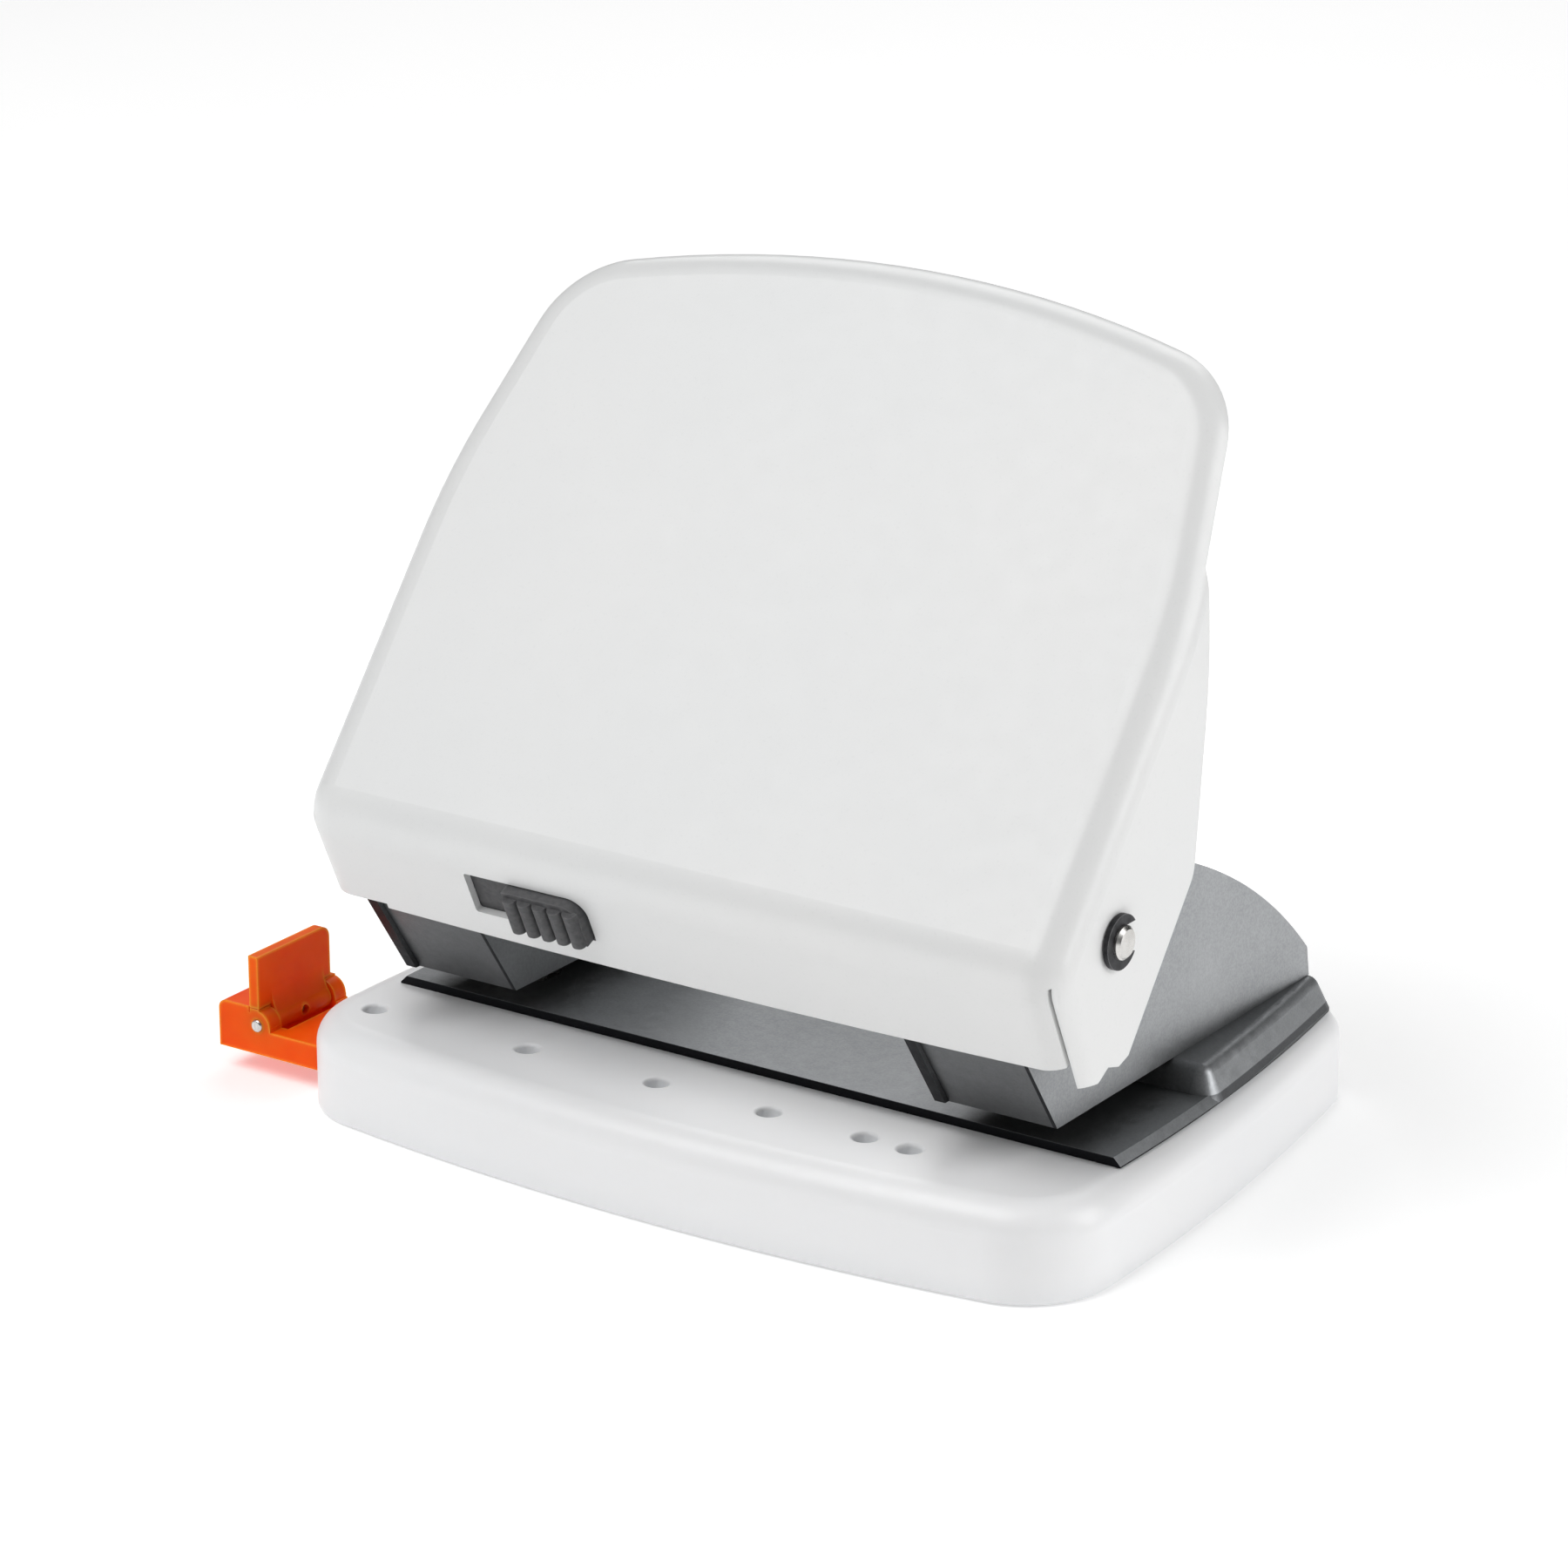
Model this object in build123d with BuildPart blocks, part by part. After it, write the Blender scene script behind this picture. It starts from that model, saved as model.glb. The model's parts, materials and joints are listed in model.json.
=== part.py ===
from build123d import *
import os
from math import cos, radians, sin

os.makedirs("parts", exist_ok=True)

# Two-hole office punch.
# X runs across the punch, Y towards the back, Z up; the origin is on the table, under the
# middle of the handle and the bed.  All lengths are in millimetres.

# ---- driving dimensions ----
hole_spacing = 80.0          # standard spacing of the two punched holes
paper_margin = 12.0          # hole centre to the edge of the sheet
stop_y = 1.0                 # face of the bed that the sheet is pushed against
pin_x = hole_spacing / 2
punch_mid_x = -1.5           # middle between the two punches
pin_y = stop_y - paper_margin
pin_r = 2.75
run_gap = 0.05               # radial clearance of every running fit

# base
base_front_y = -43.5
base_rear_y = 42.5
base_half_w = 57.8
base_x = -1.2                # the base reaches a little further to the side of the paper guide
rear_half_w = 51.3
base_corner_r = 12.0
rear_corner_r = 7.0
foot_z = 0.4                 # the moulded rim stands this far above the table
deck_z = 12.5
deck_t = 2.6
wall_t = 3.0
deck_round = 4.0

# bed
bed_t = 1.2
bed_z = deck_z + bed_t       # top of the flat bed
bed_front_y = -21.5
bed_rear_y = 39.0
frame_z = 17.0               # top of the raised part of the bed, underside of the frames
bed_bevel = 1.0
bed_half_w = 53.9
bed_rear_half_w = 49.4
bed_bow_y = 12.0
bed_corner_r = 3.0

# frames and axle
sheet_t = 1.5
frame_half_w = 8.4
pivot_y = -25.6
pivot_z = 43.0
axle_r = 2.1

# handle
press_angle = 36.0           # full stroke of the handle, degrees
press_arm = 14.6             # axle to the nose that pushes the pin
nose_r = 3.0
shell_t = 1.0
handle_half_w = 55.2
handle_len = 86.4            # crease to the middle of the top edge, along the panel
corner_x = 49.1
corner_u = 78.9
panel_tilt = 51.0
crease_y = -40.7
crease_z = 41.8
lip_bottom_y = -34.8
lip_bottom_z = 29.0
lip_bow = 1.0                # the lip hangs this much lower in the middle
flange_tip_z = 26.3
side_bend_r = 4.6
handle_corner_r = 14.5
crease_r = 6.5

# paper guide
rail_front_y = -32.8
rail_w = 12.0
rail_z0 = 3.0
rail_z1 = 6.4
rail_gap = 0.15
rail_end_x = 34.0            # inner end of the rail
head_x = -75.0               # outer end of the guide
flap_pin_x = -68.7
flap_pin_z = 6.95
flap_pin_r = 0.85
flap_w = 14.8
index_x = (-51.1, -27.0, -7.2, 9.5, 23.5, 29.9)

# worked out
nose_y = pivot_y + press_arm * cos(radians(press_angle / 2))
nose_z = pivot_z + press_arm * sin(radians(press_angle / 2))
pin_top_z = nose_z - nose_r - 0.1
pin_tip_z = frame_z + 1.2
sides = ((punch_mid_x - pin_x, "left"), (punch_mid_x + pin_x, "right"))

# ---- base shell: deck, walls, guide channel and chip space, open below ----
def base_plan(inset):
    """Face with the outline of the base, moved inwards by inset."""
    left = base_x - base_half_w + inset
    right = base_x + base_half_w - inset
    rear_left = base_x - rear_half_w + inset
    rear_right = base_x + rear_half_w - inset
    front = base_front_y + inset
    rear = base_rear_y - inset
    with BuildSketch() as plan:
        with BuildLine():
            ThreePointArc((left, front + 5.0), (base_x, front), (right, front + 5.0))
            ThreePointArc((right, front + 5.0), (right - 0.3, -8.0), (rear_right, rear))
            Line((rear_right, rear), (rear_left, rear))
            ThreePointArc((rear_left, rear), (left + 0.3, -8.0), (left, front + 5.0))
        make_face()
        fillet(vertices().filter_by(lambda v: v.Y < 0), base_corner_r - inset)
        fillet(vertices().filter_by(lambda v: v.Y > rear - 0.1), rear_corner_r - inset)
    return plan.sketch


ceiling_z = deck_z - deck_t
channel_y0 = rail_front_y - rail_gap
channel_y1 = rail_front_y + rail_w + rail_gap
channel_wall = 1.6
channel_end_x = 45.0
leaf_l = 20.0
leaf_t = 0.4
leaf_h = 2.4
rib_x = (-40.0, -17.0, 2.0, 17.0)
screw_y = (12.0, 30.0)
die_r = 4.5
dimple_y = -30.4
dimple_r = 1.5
lid_axis_y = 37.6
lid_axis_z = 2.2
knuckle_r = 1.6
lid_pin_r = 1.0
knuckle_x = 32.0
knuckle_w = 8.0
ear_w = 3.0

with BuildPart() as base_shell:
    with BuildSketch(Plane.XY.offset(foot_z)):
        add(base_plan(0))
    extrude(amount=deck_z - foot_z)
    fillet(base_shell.faces().sort_by(Axis.Z)[-1].edges(), deck_round)
    # hollow inside, open below
    with BuildSketch(Plane.XY.offset(foot_z)):
        add(base_plan(wall_t))
    extrude(amount=ceiling_z - foot_z, mode=Mode.SUBTRACT)
    # walls of the guide channel, with ribs that carry the rail and hold it down
    with BuildSketch(Plane.XY.offset(foot_z)):
        for y in (channel_y0 - channel_wall / 2, channel_y1 + channel_wall / 2):
            with Locations(((channel_end_x - 55.0) / 2, y)):
                Rectangle(channel_end_x + 55.0, channel_wall)
        with Locations((channel_end_x, (channel_y0 + channel_y1) / 2)):
            Rectangle(channel_wall, channel_y1 - channel_y0)
        with Locations([(x, (channel_y0 + channel_y1) / 2) for x in rib_x]):
            Rectangle(2.0, channel_y1 - channel_y0 + 1.0)
    extrude(amount=ceiling_z - foot_z + 0.5)
    with BuildSketch(Plane.YZ.offset(channel_end_x - channel_wall / 2)):
        with Locations(((channel_y0 + channel_y1) / 2, (rail_z0 + rail_z1) / 2)):
            Rectangle(channel_y1 - channel_y0, rail_z1 - rail_z0 + 2 * rail_gap)
    extrude(amount=-channel_end_x - 65.0, mode=Mode.SUBTRACT)
    # pocket for the leaf spring that clicks the rail
    with Locations((0, channel_y1, rail_z0 + 0.4)):
        Box(leaf_l, leaf_t, leaf_h, align=(Align.CENTER, Align.MIN, Align.MIN), mode=Mode.SUBTRACT)
    # ears that hold the pins of the chip lid
    for x in (-knuckle_x - knuckle_w / 2 - ear_w - 0.3, -knuckle_x + knuckle_w / 2 + 0.3,
              knuckle_x - knuckle_w / 2 - ear_w - 0.3, knuckle_x + knuckle_w / 2 + 0.3):
        with BuildSketch(Plane.YZ.offset(x)):
            with Locations((lid_axis_y, lid_axis_z)):
                Circle(knuckle_r)
            with Locations((lid_axis_y, (lid_axis_z + ceiling_z + 0.5) / 2)):
                Rectangle(2 * knuckle_r, ceiling_z + 0.5 - lid_axis_z)
        extrude(amount=ear_w)
    with BuildSketch(Plane.YZ):
        with Locations((lid_axis_y, lid_axis_z)):
            Circle(lid_pin_r)
    extrude(amount=knuckle_x + knuckle_w / 2 + ear_w + 0.3, both=True, mode=Mode.SUBTRACT)
    # clearance for the dies and the frame screws
    with Locations([(x, pin_y, deck_z) for x, _ in sides]):
        Hole(die_r + 0.5, deck_t + 1.0)
    with Locations([(x, y, deck_z) for x, _ in sides for y in screw_y]):
        Hole(2.0, deck_t + 1.0)
    # shallow dimples with soft rims that mark the paper sizes
    with Locations([(x, dimple_y, deck_z) for x in index_x]):
        Hole(dimple_r, 1.8)
    rims = base_shell.edges().filter_by(GeomType.CIRCLE).filter_by(
        lambda e: abs(e.center().Z - deck_z) < 0.01 and abs(e.radius - dimple_r) < 0.01)
    fillet(rims, 0.5)
    # groove for the anti-slip ring
    with BuildSketch(Plane.XY.offset(foot_z)):
        add(base_plan(0.9))
        add(base_plan(2.1), mode=Mode.SUBTRACT)
    extrude(amount=1.2, mode=Mode.SUBTRACT)
base_shell.part.label = "base_shell"
export_step(base_shell.part, "parts/base_shell.step")

with BuildPart() as anti_slip_ring:
    with BuildSketch():
        add(base_plan(0.9))
        add(base_plan(2.1), mode=Mode.SUBTRACT)
    extrude(amount=foot_z + 1.2)
anti_slip_ring.part.label = "anti_slip_ring"
export_step(anti_slip_ring.part, "parts/anti_slip_ring.step")

# ---- chip lid: the bottom cover, hinged at the back, opens downwards ----
lid_z0 = foot_z + 0.2
lid_t = 1.3
lid_front_y = channel_y1 + channel_wall + 0.4
lid_rear_y = lid_axis_y + 0.2
ear_x = knuckle_x + knuckle_w / 2

with BuildPart() as chip_lid:
    with BuildSketch(Plane.XY.offset(lid_z0)):
        add(base_plan(wall_t + 0.4))
        with Locations((0, (lid_front_y + lid_rear_y) / 2)):
            Rectangle(120, lid_rear_y - lid_front_y, mode=Mode.INTERSECT)
        # cut rear corners, notches round the ears of the base and a finger notch at the front
        with Locations((base_x - 49.0, lid_rear_y), (base_x + 49.0, lid_rear_y)):
            Rectangle(10.0, 8.0, mode=Mode.SUBTRACT)
        for x in (-ear_x - ear_w / 2 - 0.3, -knuckle_x + knuckle_w / 2 + ear_w / 2 + 0.3,
                  knuckle_x - knuckle_w / 2 - ear_w / 2 - 0.3, ear_x + ear_w / 2 + 0.3):
            with Locations((x, lid_axis_y)):
                Rectangle(ear_w + 0.5, 4.4, mode=Mode.SUBTRACT)
        with Locations((0, lid_front_y - 4.0)):
            Circle(9.0, mode=Mode.SUBTRACT)
    extrude(amount=lid_t)
    # ribs that stiffen the floor
    with BuildSketch(Plane.XY.offset(lid_z0 + lid_t)):
        with GridLocations(22.0, 1.0, 4, 1):
            with Locations((0, 14.0)):
                Rectangle(1.2, 36.0)
    extrude(amount=0.8)
    for x in (-knuckle_x, knuckle_x):
        with BuildSketch(Plane.YZ.offset(x - knuckle_w / 2)):
            with Locations((lid_axis_y, lid_axis_z)):
                Circle(knuckle_r)
            with Locations((lid_axis_y - 1.6, lid_z0 + lid_t / 2)):
                Rectangle(3.2, lid_t)
        extrude(amount=knuckle_w)
    with BuildSketch(Plane.YZ):
        with Locations((lid_axis_y, lid_axis_z)):
            Circle(lid_pin_r + run_gap)
    extrude(amount=60.0, both=True, mode=Mode.SUBTRACT)
chip_lid.part.label = "chip_lid"
export_step(chip_lid.part, "parts/chip_lid.step")

with BuildPart() as lid_hinge_pins:
    for x in (-knuckle_x, knuckle_x):
        with BuildSketch(Plane.YZ.offset(x - knuckle_w / 2 - ear_w - 0.3)):
            with Locations((lid_axis_y, lid_axis_z)):
                Circle(lid_pin_r)
        extrude(amount=knuckle_w + 2 * ear_w + 0.6)
lid_hinge_pins.part.label = "lid_hinge_pins"
export_step(lid_hinge_pins.part, "parts/lid_hinge_pins.step")

# ---- bed: flat plate with bevelled sides and a raised, hollow pressing behind the sheet stop ----
def bed_plan(front_y, inset):
    """Closed outline of the bed behind front_y, with slightly bowed sides, moved inwards."""
    rear_y = bed_rear_y - inset
    half_front = bed_half_w - inset
    half_rear = bed_rear_half_w - inset
    with BuildSketch() as plan:
        with BuildLine():
            Line((-half_front, front_y), (half_front, front_y))
            ThreePointArc((half_front, front_y), (half_front - 1.0, bed_bow_y), (half_rear, rear_y))
            Line((half_rear, rear_y), (-half_rear, rear_y))
            ThreePointArc((-half_rear, rear_y), (1.0 - half_front, bed_bow_y), (-half_front, front_y))
        make_face()
    return plan.sketch


raised_z = bed_z - 1.0        # the side walls of the pressing start this low, at the rim of the bed
raised_taper = 25.0
with BuildPart() as bed_plate:
    with BuildSketch(Plane.XY.offset(deck_z)):
        add(bed_plan(bed_front_y, 0))
        fillet(vertices().group_by(Axis.Y)[-1], bed_corner_r)
    extrude(amount=bed_t)
    side_edges = bed_plate.faces().sort_by(Axis.Z)[-1].edges().filter_by(
        lambda e: abs(e.center().X) > 45)
    chamfer(side_edges, bed_bevel)
    # raised pressing
    with BuildSketch(Plane.XY.offset(raised_z)):
        add(bed_plan(stop_y - 1.0, 0))
        fillet(vertices().group_by(Axis.Y)[-1], bed_corner_r)
        fillet(vertices().group_by(Axis.Y)[0], 3.2)
    extrude(amount=frame_z - raised_z, taper=raised_taper)
    fillet(bed_plate.faces().sort_by(Axis.Z)[-1].edges(), 1.8)
    with BuildSketch(Plane.XY.offset(deck_z)):
        add(bed_plan(stop_y + 0.8, 1.8))
    extrude(amount=frame_z - bed_t - deck_z, taper=raised_taper, mode=Mode.SUBTRACT)
    with Locations([(x, pin_y, bed_z) for x, _ in sides]):
        Hole(die_r, bed_t + 0.5)
    with Locations([(x, y, frame_z) for x, _ in sides for y in screw_y]):
        Hole(2.0, bed_t + 0.5)
bed_plate.part.label = "bed_plate"
export_step(bed_plate.part, "parts/bed_plate.step")

# ---- pieces that come in pairs ----
web_gap = 0.8
cheek_front_y = -25.3
web_front_y = cheek_front_y + web_gap
cheek_in = frame_half_w - sheet_t
guide_top_z = 24.0
spring_r = 4.15
wire_r = 0.45
washer_t = 1.0
head_h = 2.0
washer_z = pin_top_z - head_h - washer_t
spacer_r = 3.6

for x0, hand in sides:
    with BuildPart() as punch_frame:
        # two fan-shaped cheeks; the left one stands proud of the web, the right one is flush
        for x, inset in ((x0 - frame_half_w, 0.0), (x0 + cheek_in, web_gap)):
            with BuildSketch(Plane.YZ.offset(x)):
                with BuildLine():
                    nose_top = (pivot_y - 7.0, pivot_z)
                    Polyline((36.5, frame_z), (cheek_front_y + inset, frame_z),
                             (cheek_front_y - 7.7 + inset, 28.4),
                             (cheek_front_y - 5.9 + inset, 30.4), nose_top)
                    ThreePointArc(nose_top, (pivot_y - 4.5, pivot_z + 5.6), (pivot_y + 3.0, pivot_z + 7.2))
                    Spline((pivot_y + 3.0, pivot_z + 7.2), (5.6, 41.6), (19.3, 34.4), (35.8, 21.0))
                    Line((35.8, 21.0), (36.5, frame_z))
                make_face()
            extrude(amount=sheet_t)
        # front web and floor between the cheeks
        with BuildSketch(Plane.YZ.offset(x0 - cheek_in)):
            with BuildLine():
                Polyline((web_front_y, frame_z), (34.5, frame_z),
                         (34.5, frame_z + sheet_t), (web_front_y + 1.0, frame_z + sheet_t),
                         (web_front_y - 7.3, 30.4), (web_front_y - 7.9, 28.7),
                         (web_front_y - 7.7, 28.4), (web_front_y, frame_z))
            make_face()
        extrude(amount=2 * cheek_in)
        with Locations((x0, pin_y, frame_z + sheet_t)):
            Hole(die_r - 0.2, sheet_t + 0.5)
        with Locations([(x0, y, frame_z + sheet_t) for y in screw_y]):
            Hole(2.0, sheet_t + 0.5)
        # holes for the axle
        with BuildSketch(Plane.YZ.offset(x0 - 10)):
            with Locations((pivot_y, pivot_z)):
                Circle(axle_r)
        extrude(amount=20, mode=Mode.SUBTRACT)
        if hand == "left":
            # catch tab for the handle lock, bent out of the inner cheek
            with Locations((x0 + frame_half_w + 1.8, -32.0, 35.85)):
                Box(3.8, 3.2, 0.9)
    punch_frame.part.label = f"punch_frame_{hand}"
    export_step(punch_frame.part, f"parts/punch_frame_{hand}.step")

    with BuildPart() as die:
        with Locations((x0, pin_y, bed_z)):
            Cylinder(die_r, 3.0, align=(Align.CENTER, Align.CENTER, Align.MAX))
            Cylinder(pin_r + run_gap, 3.0, align=(Align.CENTER, Align.CENTER, Align.MAX),
                     mode=Mode.SUBTRACT)
    die.part.label = f"die_{hand}"
    export_step(die.part, f"parts/die_{hand}.step")

    with BuildPart() as pin_guide:
        with BuildSketch(Plane.XZ.offset(-pin_y)):
            with BuildLine():
                r_in = pin_r + run_gap
                Polyline((x0 + r_in, frame_z), (x0 + die_r - 0.2, frame_z),
                         (x0 + die_r - 0.2, frame_z + sheet_t), (x0 + 5.5, frame_z + sheet_t),
                         (x0 + 5.5, frame_z + sheet_t + 1.4), (x0 + 4.7, frame_z + sheet_t + 1.4),
                         (x0 + 4.7, guide_top_z), (x0 + r_in, guide_top_z), (x0 + r_in, frame_z))
            make_face()
        revolve(axis=Axis((x0, pin_y, 0), (0, 0, 1)))
    pin_guide.part.label = f"pin_guide_{hand}"
    export_step(pin_guide.part, f"parts/pin_guide_{hand}.step")

    with BuildPart() as punch_pin:
        with BuildSketch(Plane.XZ.offset(-pin_y)):
            with BuildLine():
                Polyline((x0, pin_tip_z), (x0 + pin_r, pin_tip_z), (x0 + pin_r, pin_top_z - head_h),
                         (x0 + 4.0, pin_top_z - head_h), (x0 + 4.0, pin_top_z - 0.4),
                         (x0 + 3.6, pin_top_z), (x0, pin_top_z), (x0, pin_tip_z))
            make_face()
        revolve(axis=Axis((x0, pin_y, 0), (0, 0, 1)))
        # V-shaped cutting end
        with BuildSketch(Plane.YZ.offset(x0 - 5)):
            with BuildLine():
                Polyline((pin_y - 2.2, pin_tip_z - 0.01), (pin_y, pin_tip_z + 1.5),
                         (pin_y + 2.2, pin_tip_z - 0.01), (pin_y - 2.2, pin_tip_z - 0.01))
            make_face()
        extrude(amount=10, mode=Mode.SUBTRACT)
    punch_pin.part.label = f"punch_pin_{hand}"
    export_step(punch_pin.part, f"parts/punch_pin_{hand}.step")

    with BuildPart() as washer:
        with Locations((x0, pin_y, washer_z)):
            Cylinder(5.0, washer_t, align=(Align.CENTER, Align.CENTER, Align.MIN))
            Cylinder(pin_r, washer_t, align=(Align.CENTER, Align.CENTER, Align.MIN),
                     mode=Mode.SUBTRACT)
    washer.part.label = f"spring_washer_{hand}"
    export_step(washer.part, f"parts/spring_washer_{hand}.step")

    with BuildPart() as spring:
        coil_h = washer_z - guide_top_z - 2 * wire_r
        with BuildLine() as coil:
            Helix(coil_h / 7, coil_h, spring_r, center=(x0, pin_y, guide_top_z + wire_r))
        with BuildSketch(Plane(origin=coil.line @ 0, z_dir=coil.line % 0)):
            Circle(wire_r)
        sweep(is_frenet=True)
        split(bisect_by=Plane.XY.offset(guide_top_z), keep=Keep.TOP)
        split(bisect_by=Plane.XY.offset(washer_z), keep=Keep.BOTTOM)
    spring.part.label = f"return_spring_{hand}"
    export_step(spring.part, f"parts/return_spring_{hand}.step")

# ---- axle, spacers and clips ----
clip_x = handle_half_w + 0.1
clip_t = 0.7
clip_r = 3.4
axle_end_x = handle_half_w + 1.5
groove_r = axle_r - 0.4
with BuildPart() as pivot_axle:
    with BuildSketch(Plane.YZ.offset(-axle_end_x)):
        with Locations((pivot_y, pivot_z)):
            Circle(axle_r)
    extrude(amount=2 * axle_end_x)
    chamfer(pivot_axle.edges().filter_by(GeomType.CIRCLE), 0.4)
    for x in (-clip_x - clip_t, clip_x):
        with BuildSketch(Plane.YZ.offset(x)):
            with Locations((pivot_y, pivot_z)):
                Circle(axle_r + 1)
                Circle(groove_r, mode=Mode.SUBTRACT)
        extrude(amount=clip_t, mode=Mode.SUBTRACT)
pivot_axle.part.label = "pivot_axle"
export_step(pivot_axle.part, "parts/pivot_axle.step")

with BuildPart() as axle_clips:
    for x in (-clip_x - clip_t, clip_x):
        with BuildSketch(Plane.YZ.offset(x)):
            with Locations((pivot_y, pivot_z)):
                Circle(clip_r)
                Circle(groove_r, mode=Mode.SUBTRACT)
            with Locations((pivot_y + clip_r / 2, pivot_z)):
                Rectangle(clip_r + 1.0, 3.8, mode=Mode.SUBTRACT)
        extrude(amount=clip_t)
axle_clips.part.label = "axle_clips"
export_step(axle_clips.part, "parts/axle_clips.step")

spacer_end_x = handle_half_w - shell_t - 0.1
frames_left_x = sides[0][0] - frame_half_w
frames_right_x = sides[1][0] + frame_half_w
with BuildPart() as axle_spacers:
    for xa, xb in ((-spacer_end_x, frames_left_x), (frames_right_x, spacer_end_x)):
        with BuildSketch(Plane.YZ.offset(xa)):
            with Locations((pivot_y, pivot_z)):
                Circle(spacer_r)
                Circle(axle_r, mode=Mode.SUBTRACT)
        extrude(amount=xb - xa)
axle_spacers.part.label = "axle_spacers"
export_step(axle_spacers.part, "parts/axle_spacers.step")

# ---- screws and nuts that hold base, bed and frames together ----
screw_top_z = frame_z + sheet_t + 3.0
with BuildPart() as frame_screws:
    with Locations([(x, y, ceiling_z) for x, _ in sides for y in screw_y]):
        Cylinder(3.5, 1.8, align=(Align.CENTER, Align.CENTER, Align.MAX))
        Cylinder(2.0, screw_top_z - ceiling_z, align=(Align.CENTER, Align.CENTER, Align.MIN))
    with Locations([(x, y, ceiling_z - 1.8) for x, _ in sides for y in screw_y]):
        Box(4.6, 0.9, 1.6, mode=Mode.SUBTRACT)
        Box(0.9, 4.6, 1.6, mode=Mode.SUBTRACT)
frame_screws.part.label = "frame_screws"
export_step(frame_screws.part, "parts/frame_screws.step")

with BuildPart() as frame_nuts:
    with BuildSketch(Plane.XY.offset(frame_z + sheet_t)):
        with Locations([(x, y) for x, _ in sides for y in screw_y]):
            RegularPolygon(3.9, 6)
            Circle(2.0, mode=Mode.SUBTRACT)
    extrude(amount=2.4)
frame_nuts.part.label = "frame_nuts"
export_step(frame_nuts.part, "parts/frame_nuts.step")

# ---- handle: deep pressed hood with a front lip, soft bends and two side flanges ----
tilt = radians(panel_tilt)
panel = Plane(origin=(0, crease_y, crease_z), x_dir=(1, 0, 0), z_dir=(0, -sin(tilt), cos(tilt)))
lip_dir = Vector(0, crease_y - lip_bottom_y, crease_z - lip_bottom_z).normalized()
lip = Plane(origin=(0, lip_bottom_y, lip_bottom_z), x_dir=(1, 0, 0),
            z_dir=(0, -lip_dir.Z, lip_dir.Y))


def hood(inset):
    """Solid block under the pressed surface, moved inwards by inset."""
    with BuildPart() as block:
        with BuildSketch(Plane.YZ.offset(-70)):
            with BuildLine():
                low = Vector(lip_bottom_y, lip_bottom_z) - 8 * Vector(lip_dir.Y, lip_dir.Z)
                top = Vector(crease_y, crease_z) + 110 * Vector(cos(tilt), sin(tilt))
                Polyline(low, (crease_y, crease_z), top, top + (60, -40), (60, low.Y), low)
            make_face()
            offset(amount=-inset, kind=Kind.INTERSECTION)
        extrude(amount=140)
        with BuildSketch(panel.offset(-120)):
            with BuildLine():
                Polyline((-corner_x, corner_u), (-handle_half_w, 48), (-handle_half_w, -60),
                         (handle_half_w, -60), (handle_half_w, 48), (corner_x, corner_u))
                ThreePointArc((corner_x, corner_u), (0, handle_len), (-corner_x, corner_u))
            make_face()
            fillet(vertices().group_by(Axis.Y)[-1], handle_corner_r)
            fillet(vertices().filter_by(lambda v: abs(v.Y - 48) < 0.1), 90.0)
            offset(amount=-inset)
        extrude(amount=140, mode=Mode.INTERSECT)
        crease = block.edges().filter_by(Axis.X).filter_by(
            lambda e: abs(e.center().Z - crease_z) < 2 and e.center().Y < 0)
        fillet(crease, crease_r - inset)
        front = block.faces().filter_by(lambda f: f.normal_at().dot(panel.z_dir) > 0.999)
        fillet(front.edges().filter_by(lambda e: abs(e.center().X) > 40 or e.center().Z > 80),
               side_bend_r - inset)
    return block.part


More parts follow.
